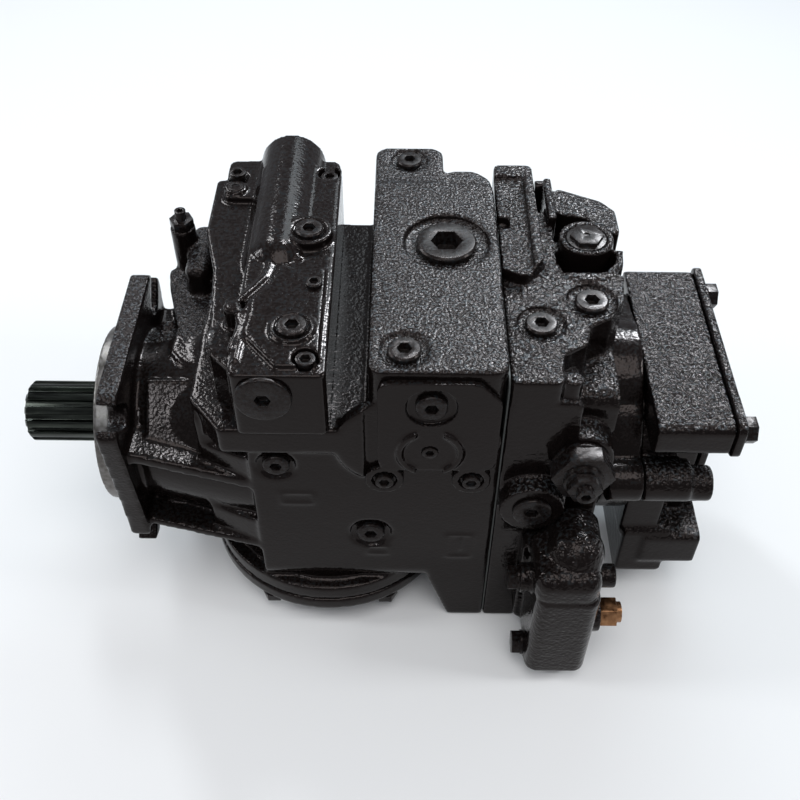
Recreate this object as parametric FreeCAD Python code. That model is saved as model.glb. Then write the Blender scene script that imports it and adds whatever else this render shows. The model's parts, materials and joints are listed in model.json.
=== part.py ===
"""Closed-circuit, variable-displacement axial piston pump.

Millimetres. The origin is on the shaft axis at the mounting flange's face. +X runs along the shaft
towards the rear of the pump, +Z is up and +Y is away from the servo cover's side. The swashplate
tilts about a vertical axis.
"""

import FreeCAD, Part
import math
import os

# ---- mounting flange and shaft (four-bolt C-size flange) ----
PILOT_R = 63.5
PILOT_LENGTH = 12.7
FLANGE_THICK = 14.0
FLANGE_OUTLINE = [
    (81, 60), (60, 81), (-60, 81), (-81, 60), (-77, 20), (-73, -18), (-71, -48), (-70, -62),
    (-62, -75), (-50, -79), (-36, -68), (36, -68), (50, -79), (62, -75), (70, -62), (71, -48),
    (73, -18), (77, 20),
]
BOLT_CIRCLE_R = 161.9 / 2
SLOT_R = 8.0
SPLINE_TEETH = 13
SPLINE_R = 22.2
SPLINE_ROOT_R = 18.9
SHAFT_TIP_X = -75.0
SEAL_JOURNAL_R = 24.0
RUNNING = 0.05
FIT = 0.1

# ---- rotating group ----
PISTONS = 9
PISTON_PITCH_R = 40.0
PISTON_R = 10.0
PISTON_BALL_R = 8.0
TILT_MAX_DEG = 17.0
TILT_X = 143.0
SLIPPER_FACE = 14.0
SLIPPER_R = 12.6
SLIPPER_FLANGE = 4.0
SLIPPER_NECK_R = 10.2
RETAINER_GAP = 0.3
RETAINER_THICK = 3.0
BORE_PITCH_R = PISTON_PITCH_R * (1 + math.cos(math.radians(TILT_MAX_DEG))) / 2
BORE_R = PISTON_R + PISTON_PITCH_R - BORE_PITCH_R + 0.08
BLOCK_X0 = 168.0
BLOCK_R = 55.0
SHAFT_R = 18.0

# ---- casting sections along X ----
NECK_X1 = 100.0
BODY_X0 = 97.0
SPLIT_X = 262.0
GASKET = 1.0
CAP_X1 = 336.0
CAP_OVERHANG_X = 346.0
CHARGE_X0 = 336.0
CHARGE_X1 = 361.0
REAR_X1 = 412.0
COVER_X1 = 418.0

# ---- casting sections across ----
FRONT_Y = -85.0
BACK_Y = 85.0
TALL_BACK_Y = 108.0
TALL_TOP = 130.0
TALL_X0 = 176.0
DECK_Z = 80.0
CAP_TOP = 122.0
FOOT_Z = -139.0
FOOT_ARCH_R = 97.5
CHAMBER_R = 74.0
CHAMBER_SHELL_R = 84.0
BARREL_BORE_R = 61.0
COVER_R = 95.0
COVER_FLANGE = 14.0
COVER_Z = -105.0
COVER_THICK = 13.0
ROOF_Z = 66.0
TRUNNION_R = 17.0
TRUNNION_SHELL_R = 21.0

# ---- servo ----
SERVO_X = 215.0
SERVO_Z = 92.0
SERVO_R = 24.0
SERVO_HALF = 46.0
SERVO_BACK_Y = 80.0
ARM_PIN_R = 7.0

# ---- control ----
CONTROL_X0, CONTROL_X1 = 94.0, 152.0
CONTROL_Y0, CONTROL_Y1 = -92.0, 122.0
CONTROL_TOP = 133.0
SPOOL_X, SPOOL_Z = 114.0, 115.0
SPOOL_R = 11.0
SPOOL_BARREL_R = 24.0
SPOOL_BARREL_Z = SPOOL_Z + 2.0
SPOOL_FRONT_Y = 28.0
SPOOL_BACK_Y = 150.0
SPOOL_HALF = 52.0

AXES = {
    "X": FreeCAD.Vector(1, 0, 0),
    "Y": FreeCAD.Vector(0, 1, 0),
    "Z": FreeCAD.Vector(0, 0, 1),
}
DIAGONALS = (45, 135, 225, 315)


def vec(x, y, z):
    return FreeCAD.Vector(x, y, z)


def box(x0, x1, y0, y1, z0, z1):
    return Part.makeBox(x1 - x0, y1 - y0, z1 - z0, vec(x0, y0, z0))


def rounded(shape, radius, along):
    """Fillets the straight edges that run along the named axes."""
    edges = []
    for edge in shape.Edges:
        direction = edge.tangentAt(edge.FirstParameter)
        if any(abs(direction.dot(AXES[name])) > 0.999 for name in along):
            edges.append(edge)
    return shape.makeFillet(radius, edges)


def block(x0, x1, y0, y1, z0, z1, radius, along="XYZ"):
    return rounded(box(x0, x1, y0, y1, z0, z1), radius, along)


def rod(axis, start, length, radius):
    return Part.makeCylinder(radius, length, vec(*start), AXES[axis])


def ring(axis, start, length, outer, inner):
    return rod(axis, start, length, outer).cut(rod(axis, start, length, inner))


def cone(axis, start, length, r0, r1):
    return Part.makeCone(r0, r1, length, vec(*start), AXES[axis])


def toward(axis, sign):
    return AXES[axis] * sign


def fuse(shapes):
    """Joins the shapes one at a time and clears the seams after each."""
    shapes = list(shapes)
    result = shapes[0]
    for other in shapes[1:]:
        result = result.fuse(other).removeSplitter()
    return result


def cut(shape, tools):
    for tool in tools:
        shape = shape.cut(tool)
    return shape


def group(shapes):
    return Part.Compound(list(shapes))


def spin(shape, degrees, axis="X", centre=(0, 0, 0)):
    copy = shape.copy()
    copy.rotate(vec(*centre), AXES[axis], degrees)
    return copy


def ring_of(count, radius, start_deg=0.0):
    """Places around the shaft axis as (degrees, y, z)."""
    for i in range(count):
        degrees = start_deg + 360.0 * i / count
        angle = math.radians(degrees)
        yield degrees, radius * math.cos(angle), radius * math.sin(angle)


def hexagon(axis, centre, height, across_flats, sign=1):
    """Hexagonal prism that starts at centre and rises along sign * axis."""
    corner = across_flats / math.sqrt(3)
    normal = toward(axis, sign)
    side = AXES["Y"] if axis == "X" else AXES["X"]
    other = normal.cross(side)
    points = []
    for i in range(7):
        angle = math.radians(60 * i)
        points.append(vec(*centre) + side * (corner * math.cos(angle)) + other * (corner * math.sin(angle)))
    return Part.Face(Part.makePolygon(points)).extrude(normal * height)


def cylinder_at(centre, axis, sign, depth0, depth1, radius):
    """Cylinder about sign * axis between two depths measured from centre."""
    normal = toward(axis, sign)
    return Part.makeCylinder(radius, depth1 - depth0, vec(*centre) + normal * depth0, normal)


def socket_plug(centre, axis, sign, head_r, head_h, shank_r, shank_h, socket):
    """Hexagon-socket plug: a chamfered flange on the face and a threaded shank below it."""
    head = cylinder_at(centre, axis, sign, 0, head_h, head_r)
    rim = [e for e in head.Edges if abs(e.Length - 2 * math.pi * head_r) < 0.01]
    outer = max(rim, key=lambda e: toward(axis, sign).dot(e.CenterOfMass))
    head = head.makeChamfer(head_h * 0.3, [outer])
    shank = cylinder_at(centre, axis, sign, -shank_h, 0, shank_r)
    start = vec(*centre) + toward(axis, sign) * (head_h - socket * 0.6)
    recess = hexagon(axis, start, socket, socket, sign)
    return head.fuse(shank).cut(recess).removeSplitter()


def plug_hole(centre, axis, sign, shank_r, shank_h):
    return cylinder_at(centre, axis, sign, -shank_h - 0.5, 1.0, shank_r + FIT)


def hex_bolt(centre, axis, sign, size, head_h, length, washer=1.5):
    """Hex-head bolt with a washer; the shank runs from the face into the casting."""
    flats = size * 1.6
    head = hexagon(axis, vec(*centre) + toward(axis, sign) * washer, head_h, flats, sign)
    disc = cylinder_at(centre, axis, sign, 0, washer, flats * 0.56)
    shank = cylinder_at(centre, axis, sign, -length, washer, size / 2)
    return head.fuse([disc, shank]).removeSplitter()


def cap_screw(centre, axis, sign, size, length, head_h):
    """Socket-head cap screw standing on the face."""
    head = cylinder_at(centre, axis, sign, 0, head_h, size * 0.75)
    shank = cylinder_at(centre, axis, sign, -length, 0, size / 2)
    start = vec(*centre) + toward(axis, sign) * (head_h * 0.45)
    recess = hexagon(axis, start, head_h, size * 0.8, sign)
    return head.fuse(shank).cut(recess).removeSplitter()


def prism(points, z0, z1):
    """Vertical prism over a polygon in X and Y."""
    wire = Part.makePolygon([vec(x, y, z0) for x, y in points] + [vec(points[0][0], points[0][1], z0)])
    return Part.Face(wire).extrude(vec(0, 0, z1 - z0))


# ---- where the fasteners and plugs are ----
COVER_BOLTS = [
    (TILT_X + 86 * math.cos(math.radians(a)), 86 * math.sin(math.radians(a)), COVER_Z - COVER_THICK)
    for a in (0, 60, 120, 180, 240, 300)
]
SERVO_COVER_Z = 62.0
SERVO_COVER_THICK = 4.0
SERVO_RIB = 2.5
SERVO_SCREW_SEAT = 1.0
SERVO_SCREW_DEPTH = 22.0
SERVO_FACE_Y = FRONT_Y - SERVO_COVER_THICK
SERVO_BOLTS = [(SERVO_X - 29, 33.0), (SERVO_X + 28, 33.0)]
SERVO_LOBE_R = 13.0
SERVO_PLUG_Z = 103.0
ADJUSTER_X, ADJUSTER_Y = 37.0, 87.0
ADJUSTER_TOP = 104.0
CONTROL_SCREWS = [(139.5, -79.0), (143.0, 114.0), (76.0, 118.0), (92.0, -32.0)]
CONTROL_SCREW_DEPTH = 12.0
CONTROL_SHOULDER_TOP = 120.0
CONTROL_LEDGE_TOP = 125.0
CHARGE_BOLT_R = 56.0
CHARGE_DISC_R = 66.0
BARREL_Y, BARREL_Z, BARREL_R = -69.0, 12.0, 15.0
REAR_BOLTS = [(-67.0, 62.0), (62.0, 64.5), (-20.0, -54.0), (60.0, -54.0)]
CAP_SCREWS = [(-70.0, 96.0), (72.0, 96.0), (-60.0, -118.0), (60.0, -118.0)]
CAP_SCREW_X = 284.0
CAP_SCREW_DEPTH = 20.0
SMALL_PLUGS = [
    ((198.0, -65.0, TALL_TOP), "Z", 1, 10.5),
    ((201.0, 138.0, TALL_TOP - 1.5), "Z", 1, 9.5),
    ((284.5, -32.0, CAP_TOP), "Z", 1, 10.5),
    ((319.0, -10.0, CAP_TOP), "Z", 1, 11.0),
    ((115.0, FRONT_Y, 42.0), "Y", -1, 9.0),
    ((176.0, FRONT_Y, -32.0), "Y", -1, 10.0),
]
BRACKET_BOLT = (280.0, BACK_Y + 10.0, 79.0)
ADAPTER_BOLTS = [(280.0, -111.0, -46.0), (288.0, -121.0, -117.0)]
ADAPTER_BOLT_LENGTH = 6.0
SMALL_PLUG_HEAD = 4.0
SPOT_FACE_DEPTH = 3.0
SPOT_FACE_RATIO = 1.5
SMALL_PLUG_SHANK = 12.0
SERVICE_PLUG = (226.0, 40.0)
SERVICE_BORE_R = 29.0
SERVICE_HEAD_R = 20.5
SERVICE_DEPTH = 4.5
SERVICE_SOCKET = 19.0
SERVICE_SHANK = 9.0
BOSS_PLUG = (321.0, 46.0)
BOSS_TOP = 130.0
POCKET_Z = 104.0
VALVE_FRONT = (313.0, FRONT_Y, 50.0)
VALVE_BACK = (317.0, BACK_Y, 64.0)
RELIEF = (284.0, FRONT_Y, 14.0)
RELIEF_BOSS_R = 21.5
RELIEF_BOSS_LENGTH = 13.0
PORT_X = 300.0
PORT_ZS = (-70.0, 0.0)
PORT_R = 12.7
PORT_DEPTH = 34.0
PORT_BOLT_DX, PORT_BOLT_DZ = 57.15, 27.76
PORT_PAD_Y = 97.0
ADAPTER_X0, ADAPTER_X1 = 287.0, 333.0
ADAPTER_Y0 = -142.0
ADAPTER_Z0 = -135.0
INLET_X, INLET_Y = 311.0, -116.0
FITTING_Z = -82.0
CONTROL_PLUG_A, CONTROL_PLUG_A_TOP = (134.0, 38.5), 138.0
CONTROL_PLUG_B, CONTROL_PLUG_B_TOP = (130.0, -55.0), 137.0
CONTROL_SMALL_PLUGS = [
    ((140.5, -13.0, CONTROL_TOP + 3), "Z", 1, 5.5),
    ((76.0, 103.0, CONTROL_LEDGE_TOP), "Z", 1, 6.0),
]
TRUNNION_LOW_Z = -92.0
TRUNNION_TOP_Z = DECK_Z - 2.5
CHARGE_TEETH = 6
CHARGE_INNER_R = 21.0
CHARGE_LOBE = 2.6
CHARGE_OFFSET = 2.6
CHARGE_OUTER_R = 34.0
CHARGE_POCKET_R = 24.6
CHARGE_POCKET_LOBE = 2.4
INLET_R = 13.0
INLET_DEPTH = 40.0


def profile_prism(plane, points, start, length):
    """Prism over an outline in the plane "YZ", "XZ" or "XY", extruded along the third axis."""
    place = {
        "YZ": (lambda u, v: vec(start, u, v), "X"),
        "XZ": (lambda u, v: vec(u, start, v), "Y"),
        "XY": (lambda u, v: vec(u, v, start), "Z"),
    }
    corner, axis = place[plane]
    wire = Part.makePolygon([corner(u, v) for u, v in points + points[:1]])
    return Part.Face(wire).extrude(AXES[axis] * length)


def flange_plate():
    """Plate with four ears, straight along the top and narrower between its lower ears."""
    plate = rounded(profile_prism("YZ", FLANGE_OUTLINE, 0, FLANGE_THICK), 3.0, "X")
    for angle in DIAGONALS:
        slot = rod("X", (-1, BOLT_CIRCLE_R, 0), FLANGE_THICK + 2, SLOT_R)
        slot = slot.fuse(box(-1, FLANGE_THICK + 1, BOLT_CIRCLE_R, BOLT_CIRCLE_R + 30, -SLOT_R, SLOT_R))
        plate = plate.cut(spin(slot, angle))
    return plate


def side_rib(side, z_front, z_rear, thick, y_front, y_rear):
    """Rib along one side of the neck, from the flange to the chamber's wall, sloping down to the rear."""
    x0, x1 = FLANGE_THICK - 2, BODY_X0 + 4
    section = [(x0, z_front), (x1, z_rear), (x1, z_rear - thick), (x0, z_front - thick)]
    slab = profile_prism("XZ", section, -90, 180)
    outline = [(x0, 40 * side), (x0, y_front * side), (x1, y_rear * side), (x1, 40 * side)]
    return slab.common(profile_prism("XY", outline, -100, 200))


def neck_ribs():
    """Side ribs, the short braces behind them and the flat pads on the neck's upper quarters."""
    ribs = []
    for side in (-1, 1):
        ribs.append(side_rib(side, 38.0, 23.0, 9.0, 73.0, 84.5))
        ribs.append(side_rib(side, -42.0, -47.0, 7.0, 66.0, 84.5))
        brace = [(64, 56 * side), (64, 70 * side), (BODY_X0 + 4, 84.5 * side), (BODY_X0 + 4, 56 * side)]
        ribs.append(profile_prism("XY", brace, 26.0, 20.0))
        ribs.append(profile_prism("XY", brace, -46.0, 24.0))
    for angle in (-45, 45):
        ribs.append(spin(box(24, 60, -25, 25, 40, 66), angle))
    for angle in (-150, 150):
        ribs.append(spin(box(12, 90, -4, 4, 50, 74), angle))
    return ribs


def housing_outside():
    shapes = [flange_plate(), rod("X", (-PILOT_LENGTH, 0, 0), PILOT_LENGTH + 1, PILOT_R)]
    shapes.append(cone("X", (FLANGE_THICK - 1, 0, 0), NECK_X1 - FLANGE_THICK, 60.0, 79.0))
    shapes += neck_ribs()
    shapes.append(rod("Z", (TILT_X, 0, COVER_Z), DECK_Z - COVER_Z, CHAMBER_SHELL_R))
    shapes.append(block(BODY_X0, SPLIT_X - GASKET, FRONT_Y, BACK_Y, -94.0, DECK_Z, 18.0, "X"))
    shapes.append(block(62.0, BODY_X0 + 60, -70.0, 70.0, -70.0, DECK_Z, 16.0, "X"))
    shoulder = [(22, 84), (26, 62), (38, 20), (37, -4), (46, -16), (70, -24), (70, 84)]
    shapes.append(rounded(prism(shoulder, 30.0, 68.0), 5.0, "Z"))
    shapes.append(block(40.0, 59.5, 52.0, 108.0, 50.0, 92.0, 8.0, "XYZ"))
    shapes.append(rounded(box(TALL_X0, SPLIT_X - GASKET, FRONT_Y, TALL_BACK_Y, 20.0, TALL_TOP), 9.0, "Z"))
    shapes.append(block(TALL_X0, 226.0, TALL_BACK_Y - 40, 154.0, 62.0, TALL_TOP - 1.5, 9.0, "Z"))
    shapes.append(rod("Z", (240.0, TALL_BACK_Y, 74.0), TALL_TOP - 78.0, 21.0))
    deck = [(60, 124), (60, -60), (82, -88), (166, -88), (180, -70), (180, 124)]
    shapes.append(profile_prism("XY", deck, 58.0, DECK_Z - 58.0))
    shapes.append(rod("Z", (TILT_X, 0, COVER_Z), COVER_FLANGE, COVER_R - 1))
    shapes.append(foot(218.0, 234.0, SPLIT_X - GASKET))
    rim = cylinder_at((192.0, FRONT_Y, 66.0), "Y", -1, -6, 3.0, 38.0)
    cover_edge = SERVO_BOLTS[0][0] - SERVO_LOBE_R - FIT
    shapes.append(rim.cut(box(cover_edge, SPLIT_X, FRONT_Y - 9, FRONT_Y, 0, TALL_TOP)))
    x, y = ADJUSTER_X, ADJUSTER_Y
    shapes.append(rod("Z", (x, y, 20.0), ADJUSTER_TOP - 20.0, 9.0))
    return fuse(shapes)


def servo_rib():
    """C-shaped rib on the servo cover, half of a ring about the neutral adjuster's screw."""
    centre = (SERVO_X, SERVO_FACE_Y - SERVO_RIB, SERVO_COVER_Z)
    low, high = SERVO_COVER_Z - 40, SERVO_COVER_Z + 40
    half = box(SERVO_X + 9, SERVO_X + 40, SERVO_FACE_Y - 9, SERVO_FACE_Y + 9, low, high)
    return ring("Y", centre, SERVO_RIB + 1, 21.5, 17.5).common(half)


def foot(x_top, x_low, x1):
    """Foot across the pump's underside, arched clear of the round bottom cover."""
    outline = [(x_top, -60.0), (x1, -60.0), (x1, FOOT_Z), (x_low, FOOT_Z), (x_top, -90.0)]
    slab = profile_prism("XZ", outline, FRONT_Y, BACK_Y - FRONT_Y)
    arch = rod("Z", (TILT_X, 0, FOOT_Z - 1), COVER_Z - FOOT_Z + 1, FOOT_ARCH_R)
    return slab.cut(arch)


def housing_inside():
    tools = [
        rod("X", (-PILOT_LENGTH - 1, 0, 0), 7.0, 52.0),
        rod("X", (-PILOT_LENGTH, 0, 0), 22.0, 34.0),
        rod("X", (8.0, 0, 0), 6.0, 38.0),
        rod("X", (14.0, 0, 0), 36.0, 46.0 + FIT),
        rod("X", (48.0, 0, 0), 40.0, 38.0),
        rod("Z", (TILT_X, 0, COVER_Z - 1), ROOF_Z - COVER_Z + 1, CHAMBER_R),
        rod("X", (TILT_X, 0, 0), SPLIT_X - TILT_X, BARREL_BORE_R),
        box(TILT_X, SERVO_X + 14, -38.0, 38.0, 0.0, 69.5),
        rod("Z", (TILT_X, 0, ROOF_Z - 1), TRUNNION_TOP_Z + 1.4 - ROOF_Z, TRUNNION_SHELL_R + FIT),
        rod("Y", (SERVO_X, FRONT_Y - 20, SERVO_Z), SERVO_BACK_Y - FRONT_Y + 20, SERVO_R + RUNNING),
        box(SERVO_X - 13, SERVO_X + 13, -38.0, 38.0, 60.0, SERVO_Z),
    ]
    return tools


def plug_seat(centre, axis, sign, radius):
    """Centre of a small plug's seat, at the bottom of its spot face."""
    return vec(*centre) - toward(axis, sign) * SPOT_FACE_DEPTH


def plug_holes(face_range):
    holes = []
    for centre, axis, sign, head_r in SMALL_PLUGS:
        if face_range[0] <= centre[0] < face_range[1]:
            seat = plug_seat(centre, axis, sign, head_r)
            holes.append(cylinder_at(seat, axis, sign, 0, SPOT_FACE_DEPTH + 6, head_r * SPOT_FACE_RATIO))
            holes.append(plug_hole(seat, axis, sign, head_r * 0.62, SMALL_PLUG_SHANK))
    return holes


def screw_holes(places, size, depth):
    """Clearance holes for fasteners, each given by (centre, axis, sign)."""
    return [cylinder_at(c, a, s, -depth, 1.0, size / 2 + FIT) for c, a, s in places]


def servo_screw_places():
    face = FRONT_Y - SERVO_SCREW_SEAT
    return [((x, face, z), "Y", -1) for x, z in SERVO_BOLTS]


def cover_bolt_places():
    return [(place, "Z", -1) for place in COVER_BOLTS]


def control_screw_places():
    tops = (CONTROL_TOP - 5, CONTROL_TOP - 10, CONTROL_SHOULDER_TOP + 3, CONTROL_SHOULDER_TOP - 8)
    return [((x, y, top), "Z", 1) for (x, y), top in zip(CONTROL_SCREWS, tops)]


def cap_screw_places():
    return [((CAP_SCREW_X, y, z), "X", 1) for y, z in CAP_SCREWS]


def charge_bolt_places():
    return [((CHARGE_X1, y, z), "X", 1) for _, y, z in ring_of(6, CHARGE_BOLT_R, 5)]


def rear_bolt_places():
    return [((COVER_X1, y, z), "X", 1) for y, z in REAR_BOLTS]


def adapter_bolt_places():
    return [(place, "X", -1) for place in ADAPTER_BOLTS]


def pump_housing():
    body = housing_outside()
    tools = housing_inside() + plug_holes((0, SPLIT_X))
    tools += screw_holes(servo_screw_places(), 8.0, SERVO_SCREW_DEPTH + 0.5)
    tools += screw_holes(cover_bolt_places(), 10.0, COVER_THICK + 12.5)
    depth = CONTROL_SCREW_DEPTH + 0.5
    tools += [cylinder_at((x, y, DECK_Z), "Z", 1, -depth, 1, 4.0 + FIT) for x, y in CONTROL_SCREWS]
    depth = CAP_SCREW_DEPTH + 0.5
    tools += [cylinder_at((SPLIT_X, y, z), "X", -1, 0, depth, 6.0 + FIT) for y, z in CAP_SCREWS]
    tools.append(rod("Z", (*SERVICE_PLUG, TALL_TOP - SERVICE_DEPTH), SERVICE_DEPTH + 1, SERVICE_BORE_R))
    floor = TALL_TOP - SERVICE_DEPTH - SERVICE_SHANK - 0.5
    tools.append(rod("Z", (*SERVICE_PLUG, floor), SERVICE_SHANK + 2, 14.0 + FIT))
    tools.append(rod("Z", (ADJUSTER_X, ADJUSTER_Y, ADJUSTER_TOP - 24.0), 30.0, 4.0 + FIT))
    return cut(body, tools)


def end_cap_top():
    """Upper part of the end cap: stepped outline, plug boss in a pocket, raised pad and sloping cover."""
    outline = [
        (SPLIT_X, FRONT_Y), (294, FRONT_Y), (296, -60), (312, -50), (316, -34), (330, -26),
        (340, -9), (CAP_OVERHANG_X, 30), (CAP_OVERHANG_X - 2, 62), (334, 78), (322, BACK_Y),
        (SPLIT_X, BACK_Y),
    ]
    top = rounded(prism(outline, 84.0, CAP_TOP), 4.0, "Z")
    pocket_outline = [(305, 16), (350, 16), (350, 90), (300, 90), (300, 30)]
    pocket = rounded(prism(pocket_outline, POCKET_Z, CAP_TOP + 1), 4.0, "Z")
    ridge_outline = [
        (305, 12), (318, 8), (334, 12), (344, 24), (CAP_OVERHANG_X, 40), (341, 40), (339, 27),
        (331, 17), (305, 17),
    ]
    ridge = prism(ridge_outline, 100.0, CAP_TOP + 2)
    boss = rod("Z", (*BOSS_PLUG, 90.0), BOSS_TOP - 90.0, 18.5)
    wedge_outline = [(306, 80), (324, 76), (341, 58), (347, 60), (347, 84), (338, 96), (306, 112)]
    wedge = rounded(prism(wedge_outline, 94.0, 124.0), 3.0, "Z")
    fin = block(297.0, 303.0, 66.0, 114.0, 98.0, 131.0, 2.0, "X")
    frame = prism([(SPLIT_X, 10), (276, 2), (290, 20), (290, 128), (SPLIT_X, 128)], 100.0, TALL_TOP + 2)
    return fuse([top.cut(pocket), ridge, boss, wedge, fin, rounded(frame, 4.0, "Z")])


def end_cap():
    lower = block(SPLIT_X, CAP_X1, -66.0, BACK_Y, -96.0, 90.0, 12.0, "X")
    lower_front = block(SPLIT_X, 309.0, FRONT_Y, BACK_Y, -70.0, 104.0, 6.0, "Y")
    heel_outline = [(SPLIT_X, -60), (309, -60), (309, -84), (286, FOOT_Z), (SPLIT_X, FOOT_Z)]
    heel = profile_prism("XZ", heel_outline, FRONT_Y, BACK_Y - FRONT_Y)
    port_pad = block(PORT_X - 36, CAP_X1, 60.0, PORT_PAD_Y, -108.0, 39.0, 8.0, "Y")
    valve_boss = rod("Y", (VALVE_FRONT[0], FRONT_Y, VALVE_FRONT[2]), 30.0, 22.0)
    back_boss = rod("Y", (VALVE_BACK[0], BACK_Y - 30, VALVE_BACK[2]), 30.0, 19.0)
    x, y, z = RELIEF
    relief_boss = rod("Y", (x, y - RELIEF_BOSS_LENGTH, z), 40.0, RELIEF_BOSS_R)
    peg = rod("Z", (301.0, -76.0, 100.0), 18.0, 6.0)
    shapes = [end_cap_top(), lower, lower_front, heel, port_pad, valve_boss, back_boss, relief_boss, peg]
    relief_face = (x, y - RELIEF_BOSS_LENGTH, z)
    tools = [
        rod("X", (SPLIT_X - 1, 0, 0), 33.0, 19.0 + FIT),
        rod("X", (SPLIT_X, 0, 0), CAP_X1 - SPLIT_X + 5, 12.0),
        prism([(258, 15), (283, 4), (283, 114), (258, 114)], TALL_TOP - 2, TALL_TOP + 5),
        box(SPLIT_X - 1, 270.0, 58.0, 70.0, TALL_TOP - 9, TALL_TOP + 5),
        rod("Z", (*BOSS_PLUG, BOSS_TOP - 3), 20.0, 14.5),
        rod("Z", (*BOSS_PLUG, BOSS_TOP - 22), 20.0, 10.0 + FIT),
        cylinder_at(VALVE_FRONT, "Y", -1, -38.5, 1, 12.0 + FIT),
        cylinder_at(VALVE_BACK, "Y", 1, -38.5, 1, 12.0 + FIT),
        cylinder_at(relief_face, "Y", -1, -32.5, 1, 9.0 + FIT),
        cylinder_at(BRACKET_BOLT, "Y", 1, -30.5, 1, 5.0 + FIT),
    ]
    for z in PORT_ZS:
        tools.append(rod("Y", (PORT_X, PORT_PAD_Y - PORT_DEPTH, z), PORT_DEPTH + 1, PORT_R))
        for dx in (-PORT_BOLT_DZ / 2, PORT_BOLT_DZ / 2):
            for dz in (-PORT_BOLT_DX / 2, PORT_BOLT_DX / 2):
                tools.append(rod("Y", (PORT_X + dx, PORT_PAD_Y - 22.0, z + dz), 23.0, 5.1))
    tools += plug_holes((SPLIT_X, CAP_X1))
    tools += screw_holes(cap_screw_places(), 12.0, 60.0)
    tools += [rod("X", (CAP_SCREW_X, y, z), 80.0, 10.5) for y, z in CAP_SCREWS]
    for _, y, z in ring_of(6, CHARGE_BOLT_R, 5):
        tools.append(cylinder_at((CAP_X1, y, z), "X", 1, -20.5, 1, 4.0 + FIT))
    return cut(fuse(shapes), tools)


def end_cap_gasket():
    sheet = block(SPLIT_X - GASKET, SPLIT_X, FRONT_Y + 1, BACK_Y - 1, FOOT_Z + 1, CAP_TOP - 1, 8.0, "X")
    holes = [rod("X", (SPLIT_X - 2, 0, 0), 3.0, BARREL_BORE_R)]
    holes += [rod("X", (SPLIT_X - 2, y, z), 3.0, 6.0 + FIT) for y, z in CAP_SCREWS]
    return cut(sheet, holes)


def bottom_cover():
    plate = rod("Z", (TILT_X, 0, COVER_Z - COVER_THICK), COVER_THICK, COVER_R)
    rim = [e for e in plate.Edges if abs(e.CenterOfMass.z - (COVER_Z - COVER_THICK)) < 0.01]
    plate = plate.makeFillet(3.0, rim)
    spigot = rod("Z", (TILT_X, 0, COVER_Z - 1), 37.0, 32.0)
    centre = rod("Z", (TILT_X, 0, COVER_Z - COVER_THICK - 4), 6.0, 34.0)
    body = fuse([plate, spigot, centre])
    seat = rod("Z", (TILT_X, 0, TRUNNION_LOW_Z - 2), 60.0, TRUNNION_SHELL_R + FIT)
    return cut(body, [seat] + screw_holes(cover_bolt_places(), 10.0, COVER_THICK + 1.0))


def servo_cover():
    """Cover of the servo's bore, with lobes for its screws and two C-shaped ribs."""
    plate = box(TALL_X0 + 6, SPLIT_X - 4, SERVO_FACE_Y, FRONT_Y, 44.0, TALL_TOP - 6)
    corner = [(SPLIT_X - 24, TALL_TOP), (SPLIT_X, TALL_TOP), (SPLIT_X, TALL_TOP - 26)]
    plate = plate.cut(profile_prism("XZ", corner, SERVO_FACE_Y - 1, SERVO_COVER_THICK + 2))
    shapes = [rounded(plate, 7.0, "Y")]
    shapes += [rod("Y", (x, SERVO_FACE_Y, z), SERVO_COVER_THICK, SERVO_LOBE_R) for x, z in SERVO_BOLTS]
    shapes.append(rod("Y", (SERVO_X, FRONT_Y - 1, SERVO_Z), 9.0, SERVO_R - FIT))
    shapes += [spin(servo_rib(), turn, "Y", (SERVO_X, 0, SERVO_COVER_Z)) for turn in (0, 180)]
    tools = [
        rod("Y", (SERVO_X, SERVO_FACE_Y - 5, SERVO_COVER_Z), 10.0, 5.0 + FIT),
        rod("Y", (SERVO_X, SERVO_FACE_Y - 5, SERVO_PLUG_Z), 8.0, 16.0),
        rod("Y", (SERVO_X, SERVO_FACE_Y, SERVO_PLUG_Z), 11.0, 6.5 + FIT),
    ]
    for centre, axis, sign in servo_screw_places():
        tools.append(cylinder_at(centre, axis, sign, -4, 8, 4.0 + FIT))
        tools.append(cylinder_at(centre, axis, sign, 0, 8, 8.2))
    return cut(fuse(shapes), tools)


def servo_adjuster():
    """Set screw that trims the servo's neutral position."""
    screw = rod("Y", (SERVO_X, SERVO_FACE_Y - 1.0, SERVO_COVER_Z), 4.5, 5.0)
    return cut(screw, [hexagon("Y", (SERVO_X, SERVO_FACE_Y + 2.5, SERVO_COVER_Z), 5.0, 5.0, -1)])


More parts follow.
